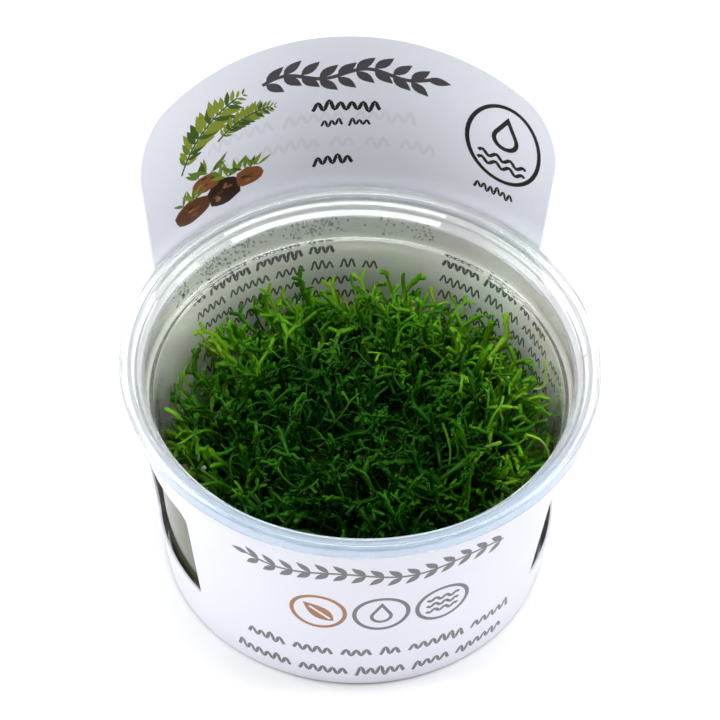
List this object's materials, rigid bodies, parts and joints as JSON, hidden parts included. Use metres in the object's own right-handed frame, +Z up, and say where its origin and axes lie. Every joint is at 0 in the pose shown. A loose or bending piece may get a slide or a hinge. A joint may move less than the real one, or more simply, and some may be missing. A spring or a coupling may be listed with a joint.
{
  "type": "crystalwort tissue culture cup",
  "caption": "Clear round plant-culture cup with a wrap-around printed sleeve and tall rear tab, holding a dense cushion of forked crystalwort over pale nutrient gel.",
  "frame": {"origin": "centre of the cup's resting face", "axes": "+Z up along the cup's axis, the sleeve's tall tab stands at +Y, the front of the sleeve faces -Y"},
  "size_m": [0.101, 0.1068, 0.0978],
  "materials": {
    "clear_plastic": "clear glossy polypropylene",
    "printed_sheet": "white satin print",
    "nutrient_gel": "moist pale gel",
    "crystalwort": "moist glossy leaf"
  },
  "bodies": {
    "root": {"clear_cup": "clear_plastic", "label_sleeve": "printed_sheet", "nutrient_gel": "nutrient_gel", "crystalwort_cushion": "crystalwort"}
  },
  "joints": []
}
